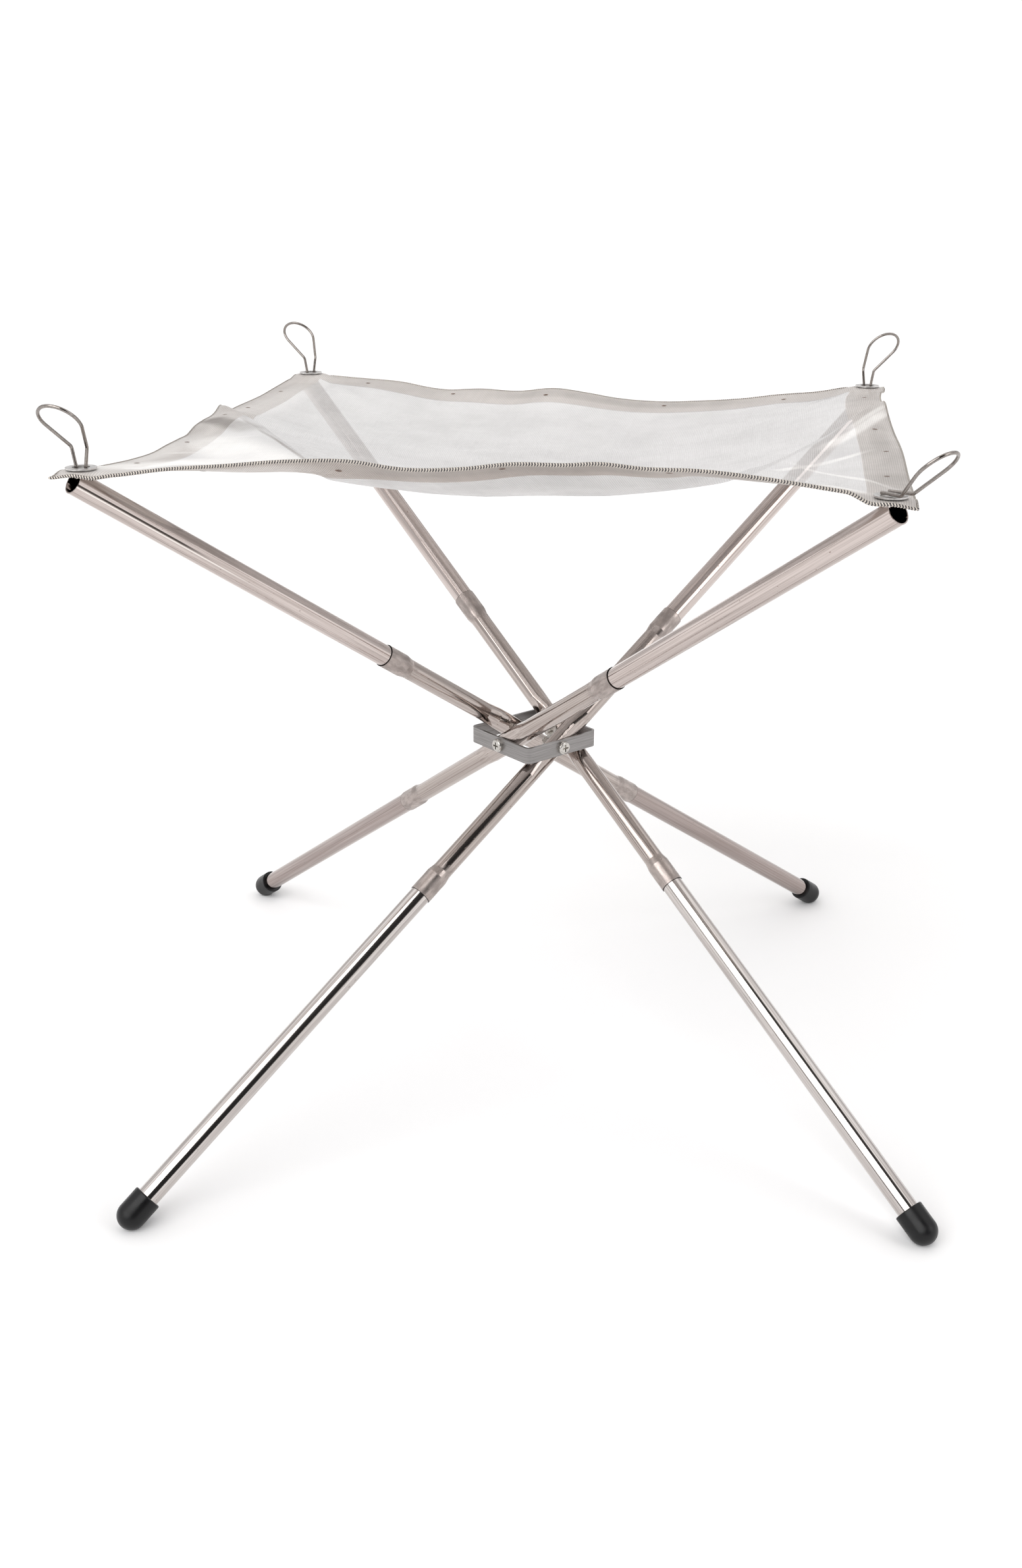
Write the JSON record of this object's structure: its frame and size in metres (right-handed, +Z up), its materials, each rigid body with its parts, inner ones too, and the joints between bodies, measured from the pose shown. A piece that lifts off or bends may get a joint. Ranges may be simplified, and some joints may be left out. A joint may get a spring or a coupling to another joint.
{
  "type": "folding fire pit",
  "caption": "Folding fire pit: a square of steel wire cloth hung on four crossed, screwed legs of plugged tubes with rubber feet.",
  "frame": {"origin": "on the floor, under the middle of the ring, at the centre of the open frame's footprint", "axes": "+Z up; the cloth's edges run along X and Y; -Y is the side that the picture looks at"},
  "size_m": [0.5082, 0.5082, 0.4416],
  "materials": {
    "brushed_strip": "bent stainless strip, brushed grey",
    "middle_tube": "drawn stainless tube, dull and mottled where it was opened into sockets",
    "polished_tube": "polished thin stainless tube with fine length-wise lines and small pits",
    "rubber_cap": "black rubber, matt",
    "plated_screw": "nickel-plated steel",
    "eyelet": "rolled stainless eyelet, dull",
    "spring_wire": "bright spring wire",
    "wire_cloth": "fine woven stainless wire cloth, see-through, folded hem"
  },
  "bodies": {
    "hub": {"hub_ring": "brushed_strip", "front_left_pivot_screw": "plated_screw", "front_left_lock_nut": "plated_screw", "front_right_pivot_screw": "plated_screw", "front_right_lock_nut": "plated_screw", "back_right_pivot_screw": "plated_screw", "back_right_lock_nut": "plated_screw", "back_left_pivot_screw": "plated_screw", "back_left_lock_nut": "plated_screw"},
    "front_left_leg": {"front_left_middle_tube": "middle_tube"},
    "front_left_top": {"front_left_upper_tube": "polished_tube"},
    "front_left_foot": {"front_left_lower_tube": "polished_tube", "front_left_foot_cap": "rubber_cap"},
    "front_left_clip": {"front_left_clip": "spring_wire"},
    "front_right_leg": {"front_right_middle_tube": "middle_tube"},
    "front_right_top": {"front_right_upper_tube": "polished_tube"},
    "front_right_foot": {"front_right_lower_tube": "polished_tube", "front_right_foot_cap": "rubber_cap"},
    "front_right_clip": {"front_right_clip": "spring_wire"},
    "back_right_leg": {"back_right_middle_tube": "middle_tube"},
    "back_right_top": {"back_right_upper_tube": "polished_tube"},
    "back_right_foot": {"back_right_lower_tube": "polished_tube", "back_right_foot_cap": "rubber_cap"},
    "back_right_clip": {"back_right_clip": "spring_wire"},
    "back_left_leg": {"back_left_middle_tube": "middle_tube"},
    "back_left_top": {"back_left_upper_tube": "polished_tube"},
    "back_left_foot": {"back_left_lower_tube": "polished_tube", "back_left_foot_cap": "rubber_cap"},
    "back_left_clip": {"back_left_clip": "spring_wire"},
    "cloth": {"fire_mesh": "wire_cloth", "front_left_eyelet": "eyelet", "front_right_eyelet": "eyelet", "back_right_eyelet": "eyelet", "back_left_eyelet": "eyelet"}
  },
  "joints": [
    {"name": "fold_front_left", "type": "hinge", "parent": "hub", "child": "front_left_leg", "pos_m": [-0.01622, 0.01388, 0.2136], "axis": [-0.7599, 0.6501, 0], "range_deg": [0, 56]},
    {"name": "upper_tube_out_front_left", "type": "slide", "parent": "front_left_leg", "child": "front_left_top", "axis": [-0.5389, -0.63, 0.5592], "range_m": [0, 0.0165]},
    {"name": "lower_tube_out_front_left", "type": "slide", "parent": "front_left_leg", "child": "front_left_foot", "axis": [0.5389, 0.63, -0.5592], "range_m": [0, 0.0165]},
    {"name": "clip_pull_front_left", "type": "slide", "parent": "cloth", "child": "front_left_clip", "axis": [0, 0, 1], "range_m": [0, 0.012]},
    {"name": "fold_front_right", "type": "hinge", "parent": "hub", "child": "front_right_leg", "pos_m": [-0.01388, -0.01622, 0.2136], "axis": [-0.6501, -0.7599, 0], "range_deg": [0, 56]},
    {"name": "upper_tube_out_front_right", "type": "slide", "parent": "front_right_leg", "child": "front_right_top", "axis": [0.63, -0.5389, 0.5592], "range_m": [0, 0.0165]},
    {"name": "lower_tube_out_front_right", "type": "slide", "parent": "front_right_leg", "child": "front_right_foot", "axis": [-0.63, 0.5389, -0.5592], "range_m": [0, 0.0165]},
    {"name": "clip_pull_front_right", "type": "slide", "parent": "cloth", "child": "front_right_clip", "axis": [0.7594, -0.6497, 0.0349], "range_m": [0, 0.012]},
    {"name": "fold_back_right", "type": "hinge", "parent": "hub", "child": "back_right_leg", "pos_m": [0.01622, -0.01388, 0.2136], "axis": [0.7599, -0.6501, 0], "range_deg": [0, 56]},
    {"name": "upper_tube_out_back_right", "type": "slide", "parent": "back_right_leg", "child": "back_right_top", "axis": [0.5389, 0.63, 0.5592], "range_m": [0, 0.0165]},
    {"name": "lower_tube_out_back_right", "type": "slide", "parent": "back_right_leg", "child": "back_right_foot", "axis": [-0.5389, -0.63, -0.5592], "range_m": [0, 0.0165]},
    {"name": "clip_pull_back_right", "type": "slide", "parent": "cloth", "child": "back_right_clip", "axis": [0, 0, 1], "range_m": [0, 0.012]},
    {"name": "fold_back_left", "type": "hinge", "parent": "hub", "child": "back_left_leg", "pos_m": [0.01388, 0.01622, 0.2136], "axis": [0.6501, 0.7599, 0], "range_deg": [0, 56]},
    {"name": "upper_tube_out_back_left", "type": "slide", "parent": "back_left_leg", "child": "back_left_top", "axis": [-0.63, 0.5389, 0.5592], "range_m": [0, 0.0165]},
    {"name": "lower_tube_out_back_left", "type": "slide", "parent": "back_left_leg", "child": "back_left_foot", "axis": [0.63, -0.5389, -0.5592], "range_m": [0, 0.0165]},
    {"name": "clip_pull_back_left", "type": "slide", "parent": "cloth", "child": "back_left_clip", "axis": [0, 0, 1], "range_m": [0, 0.012]},
    {"name": "mesh_lift", "type": "slide", "parent": "hub", "child": "cloth", "axis": [0, 0, 1], "range_m": [0, 0.4]}
  ],
  "couplings": [
    {"joint": "upper_tube_out_front_left", "follows": "fold_front_left", "m_per_rad": 0.01688},
    {"joint": "fold_front_right", "follows": "fold_front_left", "ratio": 1},
    {"joint": "upper_tube_out_front_right", "follows": "fold_front_left", "m_per_rad": 0.01688},
    {"joint": "fold_back_right", "follows": "fold_front_left", "ratio": 1},
    {"joint": "upper_tube_out_back_right", "follows": "fold_front_left", "m_per_rad": 0.01688},
    {"joint": "fold_back_left", "follows": "fold_front_left", "ratio": 1},
    {"joint": "upper_tube_out_back_left", "follows": "fold_front_left", "m_per_rad": 0.01688},
    {"joint": "mesh_lift", "follows": "fold_front_left", "m_per_rad": 0.40921}
  ]
}
